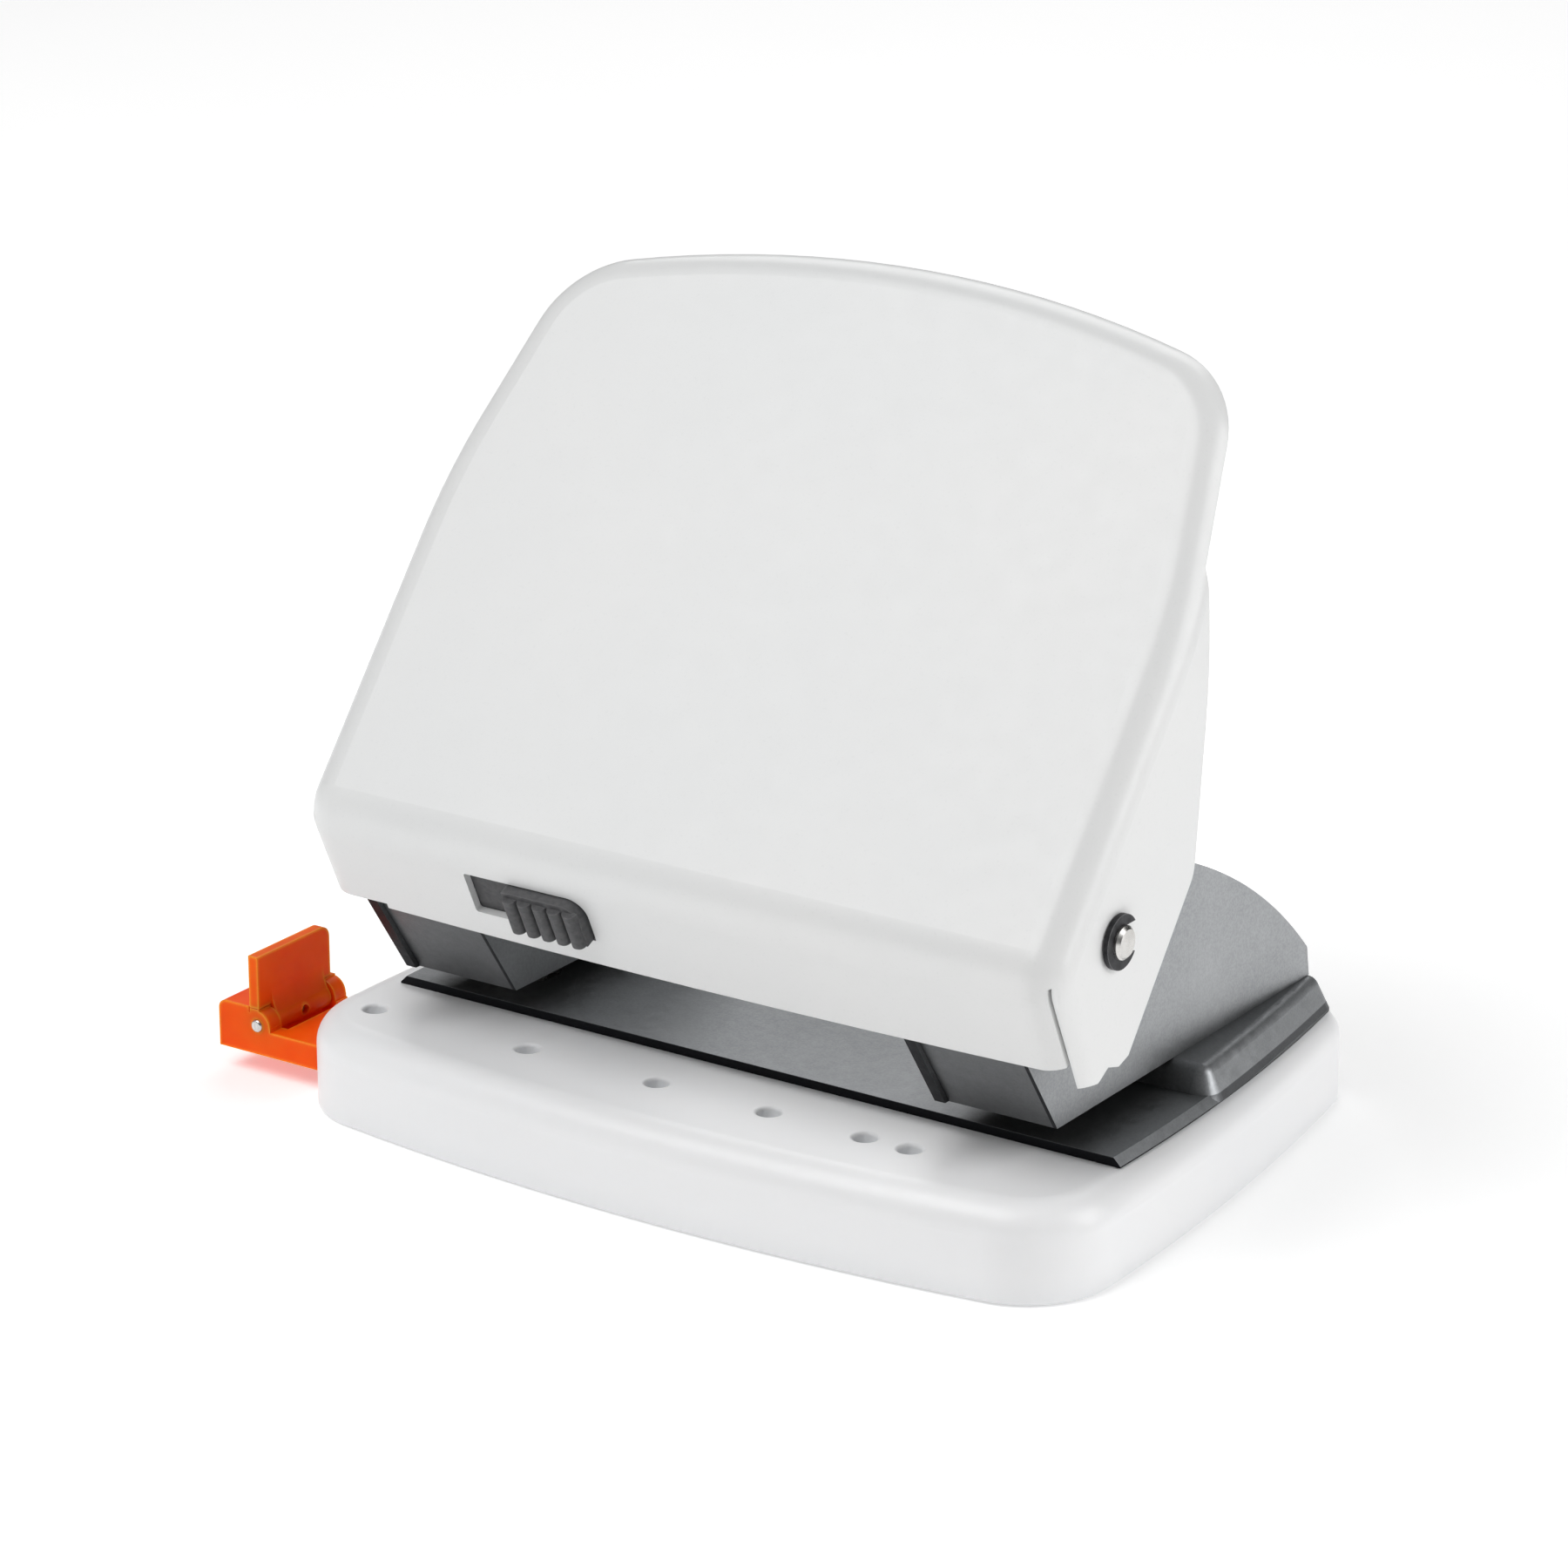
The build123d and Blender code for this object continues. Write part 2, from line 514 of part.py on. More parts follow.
outer_hood = hood(0)
inner_hood = hood(shell_t)
knee = (-8.0, 45.9)
rim_depth = 2.8
rim_dir = Vector(cos(tilt), sin(tilt))
rim_low = Vector(crease_y, crease_z) + rim_depth * Vector(sin(tilt), -cos(tilt))
rim_start = rim_low + 54.7 * rim_dir
rim_end = rim_low + 110 * rim_dir
with BuildPart() as handle_shell:
    add(outer_hood)
    add(inner_hood, mode=Mode.SUBTRACT)
    # outline of the side flanges: tip, notch, knee and straight rear edge
    with BuildSketch(Plane.YZ.offset(-70)):
        with BuildLine():
            Polyline((-60, flange_tip_z), (-60, 130), rim_end, rim_start, knee, (-22.4, 27.6),
                     (-24.6, 26.9), (-27.0, 27.6), (-29.2, flange_tip_z), (-60, flange_tip_z))
        make_face()
        fillet(vertices().filter_by(lambda v: abs(v.Y - knee[1]) < 0.1 and v.X > -10), 4.0)
    extrude(amount=140, mode=Mode.INTERSECT)
    # slanted front of the flange tips
    for x in (-handle_half_w, handle_half_w):
        with BuildSketch(Plane.YZ.offset(x)):
            Polygon((-32.0, flange_tip_z - 0.1), (-36.6, 33.0), (-45, 33), (-45, flange_tip_z - 0.1),
                    align=None)
        extrude(amount=shell_t + 0.15, both=True, mode=Mode.SUBTRACT)
    # the front lip ends above the tips of the flanges
    lip_half_w = handle_half_w - 1.2
    with BuildSketch(lip):
        with BuildLine():
            ThreePointArc((-lip_half_w, 0), (0, -lip_bow), (lip_half_w, 0))
            Polyline((lip_half_w, 0), (lip_half_w, -20), (-lip_half_w, -20), (-lip_half_w, 0))
        make_face()
    extrude(amount=20, both=True, mode=Mode.SUBTRACT)
    # the left flange has no tip and ends level with the lip
    with Locations((-handle_half_w, 0, lip_bottom_z + 0.4)):
        Box(20, 120, 20, align=(Align.CENTER, Align.CENTER, Align.MAX), mode=Mode.SUBTRACT)
    # corner slits between lip and side flanges
    with BuildSketch(lip):
        with Locations([(x, 5.6) for x in (-handle_half_w + 1.4, handle_half_w - 1.4)]):
            Rectangle(0.4, 13.0)
    extrude(amount=4, both=True, mode=Mode.SUBTRACT)
    # lock slot
    with BuildSketch(lip):
        with Locations((-21.1, 6.4)):
            Rectangle(18.2, 6.4)
        fillet(vertices().group_by(Axis.X)[-1].sort_by(Axis.Y)[-1], 2.6)
        fillet(vertices().group_by(Axis.X)[0], 0.4)
    extrude(amount=4, both=True, mode=Mode.SUBTRACT)
    # axle holes
    with BuildSketch(Plane.YZ):
        with Locations((pivot_y, pivot_z)):
            Circle(axle_r + run_gap)
    extrude(amount=70, both=True, mode=Mode.SUBTRACT)
handle_shell.part.label = "handle_shell"
export_step(handle_shell.part, "parts/handle_shell.step")

# ---- levers welded under the handle: each turns on the axle and its nose pushes a pin ----
boss_r = 5.2
lever_w = 5.0
for x0, hand in sides:
    with BuildPart() as press_lever:
        with BuildSketch(Plane.YZ.offset(x0 - lever_w / 2)):
            with BuildLine():
                Polyline((pivot_y - 5.0, pivot_z + 1.0), (pivot_y + 4.5, pivot_z + 1.0),
                         (nose_y - nose_r, nose_z - 0.6), (nose_y + nose_r, nose_z),
                         (nose_y + 2.0, 86.0), (pivot_y - 5.0, 64.0),
                         (pivot_y - 5.0, pivot_z + 1.0))
            make_face()
            with Locations((pivot_y, pivot_z)):
                Circle(boss_r)
            with Locations((nose_y, nose_z)):
                Circle(nose_r)
            with Locations((pivot_y, pivot_z)):
                Circle(axle_r + run_gap, mode=Mode.SUBTRACT)
        extrude(amount=lever_w)
        add(inner_hood, mode=Mode.INTERSECT)
    press_lever.part.label = f"press_lever_{hand}"
    export_step(press_lever.part, f"parts/press_lever_{hand}.step")

# ---- handle lock: ribbed thumb button, copper catch and their screw ----
pad_x0 = -23.6
pad_x1 = -12.3
rib_count = 5
rib_pitch = (pad_x1 - pad_x0) / rib_count
lock_x = (pad_x0 + pad_x1) / 2
with BuildPart() as lock_button:
    # slide plate behind the lip
    with BuildSketch(lip.offset(-shell_t - 0.1)):
        with Locations(((-32.0 - 9.0) / 2, 6.5)):
            Rectangle(23.0, 8.6)
        fillet(vertices(), 1.0)
    extrude(amount=-1.2)
    # pad through the slot
    with BuildSketch(lip.offset(-shell_t - 0.1)):
        with Locations((lock_x, 6.4)):
            Rectangle(pad_x1 - pad_x0, 6.0)
        fillet(vertices().group_by(Axis.X)[-1].sort_by(Axis.Y)[-1], 2.4)
    extrude(amount=shell_t + 0.1 + 1.4)
    # half-round ribs
    with BuildSketch(lip.offset(1.4 - 0.2)):
        with Locations([(pad_x0 + rib_pitch * (i + 0.5), 6.1) for i in range(rib_count)]):
            Rectangle(rib_pitch - 0.3, 5.2)
    extrude(amount=1.1)
    crown = lock_button.faces().filter_by(
        lambda f: f.normal_at().dot(lip.z_dir) > 0.99).group_by(Axis(lip.origin, lip.z_dir))[-1]
    fillet(crown.edges().filter_by(lambda e: abs(e.tangent_at(0.5).X) < 0.1), 0.85)
    # blind hole for the screw
    with BuildSketch(lip.offset(-10)):
        with Locations((lock_x, 6.4)):
            Circle(1.0)
    extrude(amount=10.6, mode=Mode.SUBTRACT)
lock_button.part.label = "lock_button"
export_step(lock_button.part, "parts/lock_button.step")

hook_d = -shell_t - 0.1 - 1.2
hook_t = 0.8
with BuildPart() as lock_hook:
    with BuildSketch(lip.offset(hook_d)):
        with Locations((-20.2, 3.4)):
            Rectangle(12.0, 12.0)
        fillet(vertices(), 0.8)
    extrude(amount=-hook_t)
    # finger that slides over the catch tab
    with BuildSketch(lip.offset(hook_d)):
        with Locations((-25.05, 2.75)):
            Rectangle(2.5, 2.3)
    extrude(amount=-10.0 - hook_d)
    with BuildSketch(lip.offset(-10)):
        with Locations((lock_x, 6.4)):
            Circle(1.0)
    extrude(amount=20, mode=Mode.SUBTRACT)
lock_hook.part.label = "lock_hook"
export_step(lock_hook.part, "parts/lock_hook.step")

with BuildPart() as lock_screw:
    with BuildSketch(lip.offset(0.6)):
        with Locations((lock_x, 6.4)):
            Circle(1.0)
    extrude(amount=hook_d - hook_t - 0.6)
    with BuildSketch(lip.offset(hook_d - hook_t)):
        with Locations((lock_x, 6.4)):
            Circle(2.0)
    extrude(amount=-1.2)
lock_screw.part.label = "lock_screw"
export_step(lock_screw.part, "parts/lock_screw.step")

# ---- paper guide: rail with head, folding stop and its pin ----
rail_mid_y = rail_front_y + rail_w / 2
ear_t = 2.4
ear_gap = 0.2
flap_t = 1.5
head_z = 9.4
flap_top_z = 16.4
plate_z = 9.3                # the plate is full width above this height
knuckle_out_r = 1.7
root_r = 3.2                 # room that the root of the plate needs round the pin
flap_rear_y = rail_front_y + flap_w
head_rear_y = flap_rear_y + 1.0
wall_x = flap_pin_x - 1.3
ear_x1 = flap_pin_x + 2.3
with BuildPart() as guide_rail:
    # rail
    with Locations(((head_x + 1 + rail_end_x) / 2, rail_mid_y, (rail_z0 + rail_z1) / 2)):
        Box(rail_end_x - head_x - 1, rail_w, rail_z1 - rail_z0)
    # head with the wall that the stop leans on
    with BuildSketch(Plane.XZ.offset(-rail_front_y)):
        with BuildLine():
            Polyline((head_x, rail_z0), (ear_x1, rail_z0), (ear_x1, rail_z1), (wall_x, rail_z1),
                     (wall_x, head_z), (head_x, head_z), (head_x, rail_z0))
        make_face()
        fillet(vertices().group_by(Axis.X)[0].sort_by(Axis.Y)[-1], 1.2)
    extrude(amount=-(head_rear_y - rail_front_y))
    # ears round the pin
    for y0, y1 in ((rail_front_y, rail_front_y + ear_t), (head_rear_y - ear_t, head_rear_y)):
        with BuildSketch(Plane.XZ.offset(-y0)):
            with Locations((flap_pin_x, flap_pin_z)):
                Circle(2.05)
            with Locations(((wall_x + ear_x1 - 0.2) / 2, (rail_z0 + flap_pin_z) / 2)):
                Rectangle(ear_x1 - 0.2 - wall_x, flap_pin_z - rail_z0)
            with Locations((wall_x + 0.15 + flap_t / 2, (flap_pin_z + plate_z) / 2 - 0.05)):
                Rectangle(flap_t, plate_z - flap_pin_z - 0.1)
        extrude(amount=-(y1 - y0))
    with BuildSketch(Plane.XZ.offset(-rail_front_y + 5)):
        with Locations((flap_pin_x, flap_pin_z)):
            Circle(flap_pin_r)
    extrude(amount=-40, mode=Mode.SUBTRACT)
    # room for the knuckle of the stop and for its thick root when it is folded
    with BuildSketch(Plane.XZ.offset(-rail_front_y - ear_t)):
        with Locations((flap_pin_x, flap_pin_z)):
            Circle(root_r)
        with Locations((flap_pin_x - root_r / 2, flap_pin_z)):
            Rectangle(root_r, 2 * root_r, mode=Mode.SUBTRACT)
        with Locations((flap_pin_x, flap_pin_z)):
            Circle(knuckle_out_r + 0.3)
    extrude(amount=-(head_rear_y - rail_front_y - 2 * ear_t), mode=Mode.SUBTRACT)
    # click notches along the back edge
    with Locations([(x, rail_front_y + rail_w, (rail_z0 + rail_z1) / 2)
                    for x in (-41.0, -34.6, -20.6, -3.9, 15.9)]):
        Cylinder(0.9, 10, rotation=(0, 0, 0), mode=Mode.SUBTRACT)
guide_rail.part.label = "guide_rail"
export_step(guide_rail.part, "parts/guide_rail.step")

with BuildPart() as guide_pin:
    with BuildSketch(Plane.XZ.offset(-rail_front_y + 0.3)):
        with Locations((flap_pin_x, flap_pin_z)):
            Circle(flap_pin_r)
    extrude(amount=-(head_rear_y - rail_front_y + 0.3))
    fillet(guide_pin.edges().sort_by(Axis.Y)[0], 0.3)
guide_pin.part.label = "guide_pin"
export_step(guide_pin.part, "parts/guide_pin.step")

with BuildPart() as guide_flap:
    # plate, narrower between the ears than above them, and its knuckle
    knuckle_y0 = rail_front_y + ear_t + ear_gap
    knuckle_y1 = head_rear_y - ear_t - ear_gap
    plate_x0 = wall_x + 0.15
    with BuildSketch(Plane.YZ.offset(plate_x0)):
        with BuildLine():
            Polyline((knuckle_y0, flap_pin_z), (knuckle_y1, flap_pin_z), (knuckle_y1, plate_z),
                     (flap_rear_y, plate_z), (flap_rear_y, flap_top_z), (rail_front_y, flap_top_z),
                     (rail_front_y, plate_z), (knuckle_y0, plate_z), (knuckle_y0, flap_pin_z))
        make_face()
        fillet(vertices().group_by(Axis.Y)[-1].sort_by(Axis.X)[-1], 1.6)
    extrude(amount=flap_t)
    with BuildSketch(Plane.XZ.offset(-knuckle_y0)):
        with Locations((flap_pin_x, flap_pin_z)):
            Circle(knuckle_out_r)
        with BuildLine():
            root_top = (plate_x0 + flap_t, flap_pin_z + 4.4)
            root_low = (flap_pin_x + knuckle_out_r - 0.05, flap_pin_z + 0.4)
            ThreePointArc(root_top, (flap_pin_x + 0.75, flap_pin_z + 2.2), root_low)
            Polyline(root_low, (plate_x0, flap_pin_z), (plate_x0, flap_pin_z + 4.4), root_top)
        make_face()
    extrude(amount=-(knuckle_y1 - knuckle_y0))
    # core hole that shows the pin
    with Locations((flap_pin_x, (knuckle_y0 + knuckle_y1) / 2, flap_pin_z)):
        Cylinder(0.7, 3.0, rotation=(0, 90, 0), align=(Align.CENTER, Align.CENTER, Align.MIN),
                 mode=Mode.SUBTRACT)
    with BuildSketch(Plane.XZ.offset(-rail_front_y + 5)):
        with Locations((flap_pin_x, flap_pin_z)):
            Circle(flap_pin_r + run_gap)
    extrude(amount=-40, mode=Mode.SUBTRACT)
guide_flap.part.label = "guide_flap"
export_step(guide_flap.part, "parts/guide_flap.step")

# ---- leaf spring that clicks the rail ----
with BuildPart() as guide_detent:
    with Locations((0, channel_y1, rail_z0 + 0.4)):
        Box(leaf_l, leaf_t, leaf_h, align=(Align.CENTER, Align.MIN, Align.MIN))
guide_detent.part.label = "guide_detent"
export_step(guide_detent.part, "parts/guide_detent.step")
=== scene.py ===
import json

import bmesh
import bpy
from mathutils import Matrix, Vector


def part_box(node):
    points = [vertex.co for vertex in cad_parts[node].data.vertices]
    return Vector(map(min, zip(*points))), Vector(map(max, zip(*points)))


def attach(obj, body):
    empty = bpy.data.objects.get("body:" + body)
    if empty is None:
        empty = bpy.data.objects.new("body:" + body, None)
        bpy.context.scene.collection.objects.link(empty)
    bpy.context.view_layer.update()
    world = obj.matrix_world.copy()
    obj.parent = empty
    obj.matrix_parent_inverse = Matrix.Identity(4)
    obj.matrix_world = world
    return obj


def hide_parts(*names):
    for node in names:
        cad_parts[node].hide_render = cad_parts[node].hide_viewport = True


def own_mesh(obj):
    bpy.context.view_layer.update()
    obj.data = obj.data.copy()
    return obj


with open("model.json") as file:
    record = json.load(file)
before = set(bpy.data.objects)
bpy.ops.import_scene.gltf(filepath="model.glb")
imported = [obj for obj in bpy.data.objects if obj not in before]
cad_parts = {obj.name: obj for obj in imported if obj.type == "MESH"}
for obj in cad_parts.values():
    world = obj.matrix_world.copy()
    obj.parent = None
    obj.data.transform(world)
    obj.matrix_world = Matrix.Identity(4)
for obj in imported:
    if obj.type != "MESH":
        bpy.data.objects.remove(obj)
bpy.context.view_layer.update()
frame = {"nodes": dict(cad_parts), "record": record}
nodes = frame["nodes"]

# Lengths are in metres, light powers in watts.
edge_fade = 0.0001          # width over which the painted shade on an edge fades in
frame_sheet = 0.0015        # thickness of the frames' steel
web_corner_line = 0.0005    # width of the painted shadow line where a frame's web meets its outer cheek


# ---- materials ----
class Look:
    """A node material with the helpers that every finish here shares."""

    def __init__(self, name, rough=0.4, metallic=0.0):
        self.mat = bpy.data.materials.new(name)
        self.mat.use_nodes = True
        self.tree = self.mat.node_tree
        self.bsdf = self.tree.nodes["Principled BSDF"]
        self.bsdf.inputs["Metallic"].default_value = metallic
        self.bsdf.inputs["Roughness"].default_value = rough
        self.coord = self.add("ShaderNodeTexCoord").outputs["Object"]
        self.normal = None

    def add(self, kind, **settings):
        node = self.tree.nodes.new(kind)
        for key, value in settings.items():
            setattr(node, key, value)
        return node

    def link(self, a, b):
        self.tree.links.new(a, b)

    def noise(self, scale, detail=3.0, stretch=None, rough=0.55):
        """Noise in object space; scale is in cells per metre."""
        source = self.coord
        if stretch:
            mapping = self.add("ShaderNodeMapping")
            mapping.inputs["Scale"].default_value = stretch
            self.link(source, mapping.inputs["Vector"])
            source = mapping.outputs["Vector"]
        node = self.add("ShaderNodeTexNoise")
        node.inputs["Scale"].default_value = scale
        node.inputs["Detail"].default_value = detail
        node.inputs["Roughness"].default_value = rough
        self.link(source, node.inputs["Vector"])
        return node.outputs["Fac"]

    def span(self, fac, low, high, from_low=0.3, from_high=0.7):
        """fac stretched from from_low..from_high to low..high, and clamped there."""
        node = self.add("ShaderNodeMapRange")
        node.inputs["From Min"].default_value = from_low
        node.inputs["From Max"].default_value = from_high
        node.inputs["To Min"].default_value = low
        node.inputs["To Max"].default_value = high
        self.link(fac, node.inputs["Value"])
        return node.outputs["Result"]

    def mix(self, fac, a, b):
        """Mix of two colours, each a socket or a constant."""
        node = self.add("ShaderNodeMix", data_type="RGBA")
        for socket, value in ((node.inputs[6], a), (node.inputs[7], b)):
            if isinstance(value, tuple):
                socket.default_value = (*value, 1.0)
            else:
                self.link(value, socket)
        if isinstance(fac, float):
            node.inputs[0].default_value = fac
        else:
            self.link(fac, node.inputs[0])
        return node.outputs[2]

    def bump(self, height, strength, distance):
        """Adds a relief on top of the ones before it."""
        node = self.add("ShaderNodeBump")
        node.inputs["Strength"].default_value = strength
        node.inputs["Distance"].default_value = distance
        self.link(height, node.inputs["Height"])
        if self.normal:
            self.link(self.normal, node.inputs["Normal"])
        self.normal = node.outputs["Normal"]

    def edges(self, radius, low=0.86, high=0.985):
        """1 on sharp outer and inner edges, 0 on flat stretches."""
        bevel = self.add("ShaderNodeBevel", samples=6)
        bevel.inputs["Radius"].default_value = radius
        geometry = self.add("ShaderNodeNewGeometry")
        dot = self.add("ShaderNodeVectorMath", operation="DOT_PRODUCT")
        self.link(bevel.outputs["Normal"], dot.inputs[0])
        self.link(geometry.outputs["Normal"], dot.inputs[1])
        return self.span(dot.outputs["Value"], 1.0, 0.0, low, high)

    def painted_shade(self, distance):
        """Ambient-occlusion mask, 1 in corners and recesses, 0 in the open; colours mixed in with it are
        painted shade.
        """
        node = self.add("ShaderNodeAmbientOcclusion", samples=8)
        node.inputs["Distance"].default_value = distance
        return self.span(node.outputs["AO"], 1.0, 0.0, 0.25, 0.95)

    def times(self, a, b):
        return self.math("MULTIPLY", a, b)

    def math(self, operation, *values):
        """One step of arithmetic on sockets or constants."""
        node = self.add("ShaderNodeMath", operation=operation)
        for socket, value in zip(node.inputs, values):
            if isinstance(value, float):
                socket.default_value = value
            else:
                self.link(value, socket)
        return node.outputs["Value"]

    def axis(self, source, index):
        """One coordinate of a place or a direction."""
        node = self.add("ShaderNodeSeparateXYZ")
        self.link(source, node.inputs["Vector"])
        return node.outputs[index]

    def faces_along(self, index):
        """1 on faces whose normal lies across an axis, 0 on faces that look along it."""
        normal = self.add("ShaderNodeNewGeometry").outputs["Normal"]
        size = self.math("ABSOLUTE", self.axis(normal, index))
        return self.span(size, 1.0, 0.0, 0.35, 0.6)

    def done(self, color, rough=None):
        """Wires the shader up and returns the finished material."""
        self.link(color, self.bsdf.inputs["Base Color"])
        if rough is not None:
            self.link(rough, self.bsdf.inputs["Roughness"])
        if self.normal:
            self.link(self.normal, self.bsdf.inputs["Normal"])
        return self.mat


def handle_paint():
    """Off-white satin powder coat: faint orange peel, slightly thinner on the edges."""
    look = Look("handle_powder_coat")
    look.bsdf.inputs["Coat Weight"].default_value = 0.25
    look.bsdf.inputs["Coat Roughness"].default_value = 0.18
    drift = look.noise(14.0, 2.0)
    color = look.mix(look.span(drift, 0.0, 1.0), (0.765, 0.775, 0.775), (0.795, 0.795, 0.79))
    speck = look.noise(2600.0, 1.0)
    color = look.mix(look.span(speck, 0.0, 0.25, 0.62, 0.75), color, (0.70, 0.71, 0.71))
    color = look.mix(look.times(look.edges(0.0005), 0.35), color, (0.66, 0.68, 0.68))
    look.bump(look.noise(750.0, 2.0), 0.12, 0.00008)
    look.bump(look.noise(2400.0, 1.0), 0.06, 0.00003)
    return look.done(color, look.span(look.noise(420.0, 3.0), 0.34, 0.44))


def base_plastic(name, color_a, color_b):
    """Softly glossy white moulding: fine spark-eroded texture and faint flow marks."""
    look = Look(name)
    look.bsdf.inputs["Subsurface Weight"].default_value = 0.06
    look.bsdf.inputs["Subsurface Scale"].default_value = 1.0
    look.bsdf.inputs["Subsurface Radius"].default_value = (0.0012, 0.0011, 0.001)
    look.bsdf.inputs["IOR"].default_value = 1.49
    flow = look.noise(22.0, 3.0, stretch=(0.5, 1.6, 1.0))
    color = look.mix(look.span(flow, 0.0, 1.0), color_a, color_b)
    # Painted shade: the white goes grey in corners and recesses, after the ambient-occlusion mask.
    color = look.mix(look.times(look.painted_shade(0.004), 0.35), color, (0.60, 0.62, 0.64))
    look.bump(look.noise(3200.0, 2.0), 0.10, 0.00005)
    look.bump(look.noise(160.0, 1.0), 0.03, 0.00012)
    return look.done(color, look.span(look.noise(900.0, 2.0), 0.30, 0.40))


def sheet_paint(name, dark, light, metallic, edge_shade_mask, painted_web_shade=0.0):
    """Grey metallic paint with a fine grain over sheet steel, with painted shade in its corners and near
    black painted shade on the edges that the edge mask picks.

    Faces that look along Y or Z, such as the frames' webs, are darkened by the web shade argument: painted
    shade.
    """
    look = Look(name, metallic=metallic)
    grain = look.noise(3400.0, 2.0)
    cloud = look.noise(45.0, 3.0)
    color = look.mix(look.span(cloud, 0.0, 1.0), dark, light)
    speck = look.times(look.span(grain, 0.0, 1.0, 0.38, 0.62), 0.30)
    color = look.mix(speck, color, tuple(1.35 * v for v in light))
    # Painted shade: near black in corners and where the sheets meet, after the ambient-occlusion mask.
    color = look.mix(look.times(look.painted_shade(0.010), 0.9), color, tuple(0.16 * v for v in dark))
    # Painted shade: faces that look along Y or Z are darker by the web shade argument.
    if painted_web_shade:
        color = look.mix(look.times(look.faces_along(0), painted_web_shade), color, tuple(0.2 * v for v in dark))
    # Painted shade: near black on the edges that the edge mask picks.
    color = look.mix(edge_shade_mask(look), color, (0.006, 0.0065, 0.009))
    look.bump(grain, 0.20, 0.00006)
    return look.done(color, look.span(look.noise(600.0, 2.0), 0.36, 0.48))


def frame_edge_shade(look):
    """Mask of painted shade: the left cheek's front edge, and a thin painted shadow line where the web
    meets the right cheek.
    """
    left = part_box("punch_frame_left")[0][0]
    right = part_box("punch_frame_right")
    pitch = right[0][0] - left
    width = right[1][0] - right[0][0]
    x = look.axis(look.coord, 0)
    second = look.math("GREATER_THAN", x, 0.0)
    across = look.math("SUBTRACT", look.math("SUBTRACT", x, left), look.times(second, pitch))
    near = look.span(across, 1.0, 0.0, frame_sheet, frame_sheet + edge_fade)
    line_start = width - web_corner_line
    far = look.span(across, 0.0, 1.0, line_start - edge_fade, line_start)
    return look.times(look.math("MAXIMUM", near, far), look.faces_along(0))


def bed_edge_shade(look):
    """Mask of painted shade: the sawn front and side faces of the flat bed, below its top."""
    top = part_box("die_left")[1][2]
    low = look.span(look.axis(look.coord, 2), 1.0, 0.0, top - edge_fade, top)
    return look.times(low, look.faces_along(2))


def steel(name, base, bright, stretch, rough=(0.22, 0.36)):
    """Turned or ground steel: fine marks along one direction, a little oil staining."""
    look = Look(name, metallic=1.0)
    marks = look.noise(240.0, 4.0, stretch=stretch)
    stain = look.noise(180.0, 3.0)
    color = look.mix(look.span(marks, 0.0, 1.0), base, bright)
    color = look.mix(look.times(look.span(stain, 0.0, 1.0, 0.5, 0.75), 0.35), color, (0.34, 0.31, 0.27))
    look.bump(marks, 0.12, 0.00003)
    return look.done(color, look.span(marks, *rough))


def black_steel():
    """Black phosphated spring steel with rubbed edges."""
    look = Look("phosphated_clip", metallic=0.7)
    color = look.mix(look.span(look.noise(900.0), 0.0, 1.0), (0.012, 0.012, 0.014), (0.04, 0.04, 0.043))
    color = look.mix(look.times(look.edges(0.0002), 0.5), color, (0.28, 0.28, 0.29))
    look.bump(look.noise(2500.0, 2.0), 0.15, 0.00003)
    return look.done(color, look.span(look.noise(700.0), 0.35, 0.5))


def lock_plastic():
    """Dark grey moulded plastic with a fine matt texture, polished by thumbs on the ribs."""
    look = Look("lock_thumb_plastic")
    look.bsdf.inputs["Specular IOR Level"].default_value = 0.22
    color = look.mix(look.span(look.noise(1500.0), 0.0, 1.0), (0.075, 0.075, 0.078), (0.105, 0.105, 0.108))
    edge = look.edges(0.0004)
    color = look.mix(look.times(edge, 0.35), color, (0.17, 0.17, 0.175))
    look.bump(look.noise(3000.0, 2.0), 0.22, 0.00005)
    return look.done(color, look.span(edge, 0.52, 0.36, 0.0, 1.0))


def copper():
    """Copper-plated steel with a mottled tarnish, its colour kept dark as painted shade for where it sits
    under the lip.
    """
    look = Look("copper_plate", metallic=1.0)
    tarnish_and_shade = look.noise(260.0, 4.0)
    # Both colours are dark: painted shade as well as tarnish.
    color = look.mix(look.span(tarnish_and_shade, 0.0, 1.0), (0.10, 0.035, 0.02), (0.20, 0.07, 0.045))
    look.bump(look.noise(500.0, 3.0, stretch=(6.0, 1.0, 1.0)), 0.1, 0.00003)
    return look.done(color, look.span(tarnish_and_shade, 0.40, 0.52))


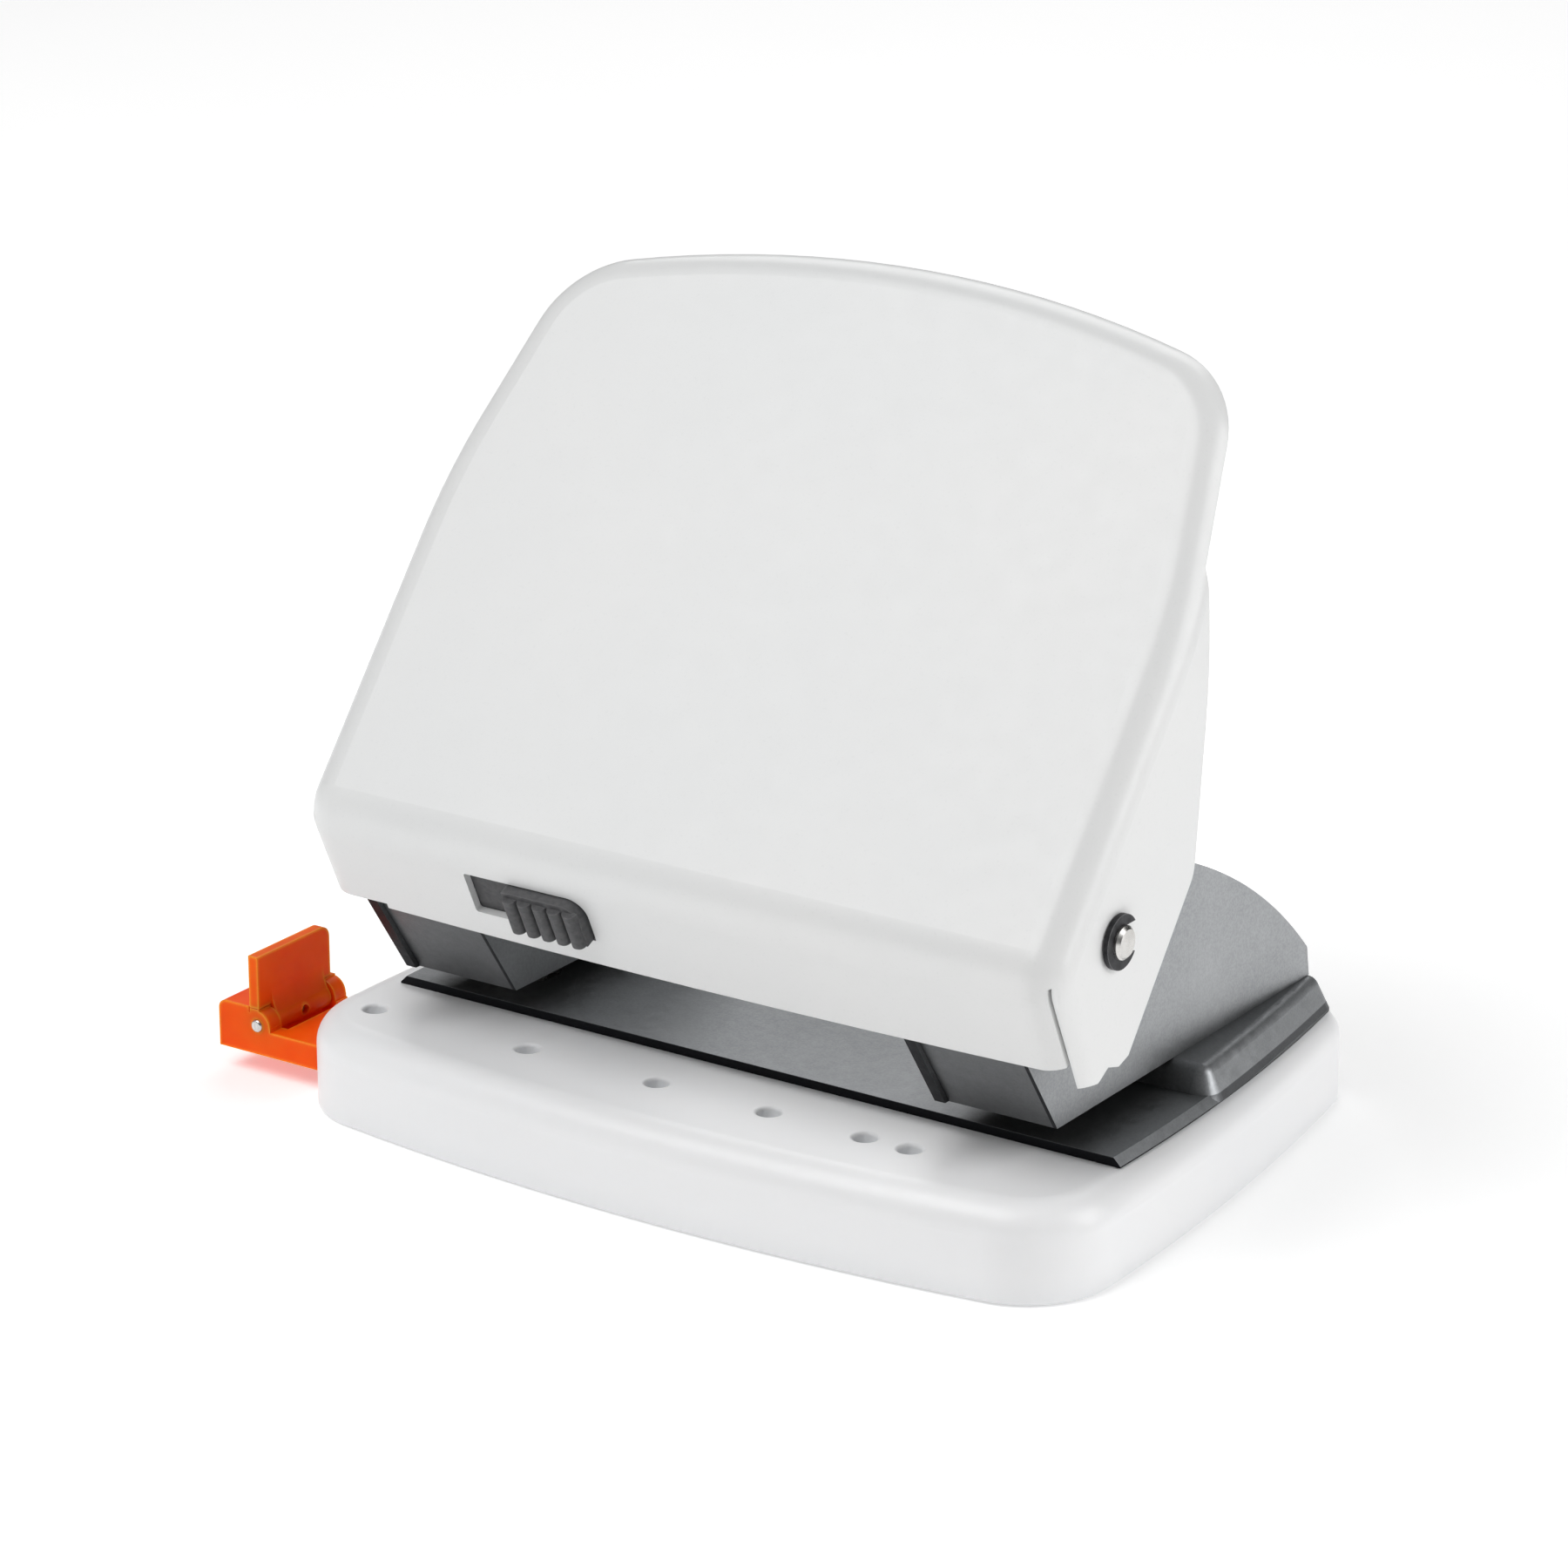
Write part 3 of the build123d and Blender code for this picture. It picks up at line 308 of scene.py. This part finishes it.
def orange_plastic():
    """Orange moulding: lets a little light in, with painted highlights on its outer edges and painted
    shade, deeper red, in its recesses.
    """
    look = Look("guide_orange_plastic")
    look.bsdf.inputs["Subsurface Weight"].default_value = 0.5
    look.bsdf.inputs["Subsurface Scale"].default_value = 1.0
    look.bsdf.inputs["Subsurface Radius"].default_value = (0.006, 0.0012, 0.0003)
    look.bsdf.inputs["IOR"].default_value = 1.45
    look.bsdf.inputs["Specular IOR Level"].default_value = 0.12
    color = look.mix(look.span(look.noise(90.0), 0.0, 1.0), (0.86, 0.085, 0.001), (0.95, 0.115, 0.002))
    # Painted shade: deeper red in recesses, after the ambient-occlusion mask.
    painted_shade = look.painted_shade(0.007)
    color = look.mix(look.times(painted_shade, 0.5), color, (0.88, 0.035, 0.001))
    # Painted highlight: lighter orange on the outer edges, kept out of the recesses.
    painted_edge_highlight = look.times(look.edges(0.0008), look.span(painted_shade, 1.0, 0.0, 0.0, 0.8))
    color = look.mix(look.times(painted_edge_highlight, 0.85), color, (0.95, 0.32, 0.03))
    look.bump(look.noise(2600.0, 2.0), 0.10, 0.00005)
    return look.done(color, look.span(look.noise(700.0), 0.32, 0.42))


def floor_paint():
    """Matt white floor that glows a little, so that it stays pale around the object."""
    look = Look("pale_floor", rough=0.9)
    look.bsdf.inputs["Emission Color"].default_value = (1.0, 1.0, 1.0, 1.0)
    look.bsdf.inputs["Emission Strength"].default_value = 0.32
    cloud = look.span(look.noise(5.0), 0.0, 1.0)
    return look.done(look.mix(cloud, (0.90, 0.90, 0.90), (0.92, 0.92, 0.92)))


def rubber():
    """Soft dark rubber with a mottled, dusty skin."""
    look = Look("ring_rubber")
    color = look.mix(look.span(look.noise(1100.0), 0.0, 1.0), (0.10, 0.10, 0.105), (0.17, 0.17, 0.175))
    look.bump(look.noise(2200.0, 3.0), 0.3, 0.00008)
    return look.done(color, look.span(look.noise(500.0), 0.72, 0.86))


looks = {
    "handle_paint": handle_paint(),
    "base_plastic": base_plastic("base_white_plastic", (0.86, 0.865, 0.875), (0.885, 0.885, 0.89)),
    "frame_paint": sheet_paint("frame_grey_paint", (0.30, 0.31, 0.32), (0.37, 0.38, 0.39), 0.85,
                               frame_edge_shade, painted_web_shade=0.65),
    "bed_paint": sheet_paint("bed_grey_paint", (0.26, 0.27, 0.28), (0.31, 0.32, 0.33), 0.75, bed_edge_shade),
    "bright_steel": steel("bright_steel", (0.55, 0.54, 0.52), (0.78, 0.77, 0.75), (4.0, 1.0, 1.0)),
    "spring_steel": steel("spring_steel", (0.34, 0.34, 0.35), (0.52, 0.52, 0.53), (1.0, 1.0, 5.0)),
    "clip_steel": black_steel(),
    "lock_plastic": lock_plastic(),
    "lock_copper": copper(),
    "guide_plastic": orange_plastic(),
    "ring_rubber": rubber(),
}
slot_of = {row["node"]: row["material_slot"] for row in frame["record"]["subparts"]}
for name, obj in nodes.items():
    obj.data.materials.clear()
    obj.data.materials.append(looks[slot_of[name]])

# ---- return springs: copies of the same coils, each with its own mesh, attached to the base ----
for hand in ("left", "right"):
    coil = nodes[f"return_spring_{hand}"]
    spring = bpy.data.objects.new(f"{coil.name}_coil", coil.data.copy())
    bpy.context.scene.collection.objects.link(spring)
    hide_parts(coil.name)
    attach(spring, "base")
    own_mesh(spring)

# ---- floor, light and camera ----
floor_half_w = 6.0
floor_mesh = bpy.data.meshes.new("floor")
bm = bmesh.new()
bmesh.ops.create_grid(bm, x_segments=1, y_segments=1, size=floor_half_w)
bm.to_mesh(floor_mesh)
bm.free()
floor = bpy.data.objects.new("floor", floor_mesh)
bpy.context.scene.collection.objects.link(floor)
floor_mesh.materials.append(floor_paint())

world = bpy.data.worlds.new("studio")
world.use_nodes = True
background = world.node_tree.nodes["Background"]
background.inputs["Color"].default_value = (1.0, 1.0, 1.0, 1.0)
background.inputs["Strength"].default_value = 0.06
bpy.context.scene.world = world


def softbox(name, place, target, size, power):
    """Rectangular area light at place that faces target."""
    data = bpy.data.lights.new(name, "AREA")
    data.shape = "RECTANGLE"
    data.size, data.size_y = size
    data.energy = power
    lamp = bpy.data.objects.new(name, data)
    lamp.location = place
    lamp.rotation_euler = (Vector(target) - Vector(place)).to_track_quat("-Z", "Y").to_euler()
    bpy.context.scene.collection.objects.link(lamp)


middle = (0.0, 0.0, 0.05)
softbox("key_light", (-0.25, -0.55, 0.95), middle, (0.9, 0.7), 8.4)
softbox("left_fill", (-0.85, -0.65, 0.45), middle, (0.8, 0.7), 1.0)
softbox("right_light", (0.95, 0.35, 0.45), middle, (0.6, 0.8), 6.2)
softbox("rear_light", (-0.40, 0.80, 0.80), middle, (0.9, 0.7), 3.8)

camera_data = bpy.data.cameras.new("camera")
camera_data.sensor_width = 36.0
camera_data.lens = 131.04
camera_data.clip_start = 0.01
camera = bpy.data.objects.new("camera", camera_data)
camera_place = Vector((0.3710, -0.5605, 0.2804))
right = Vector((0.8278, 0.5611, 0.0)).normalized()
ahead = Vector((-0.5293, 0.7809, -0.3318)).normalized()
up = right.cross(ahead)
turn = Matrix((right, up, -ahead)).transposed()
camera.matrix_world = Matrix.Translation(camera_place) @ turn.to_4x4()
bpy.context.scene.collection.objects.link(camera)
bpy.context.scene.camera = camera
bpy.context.scene.view_settings.view_transform = "Standard"
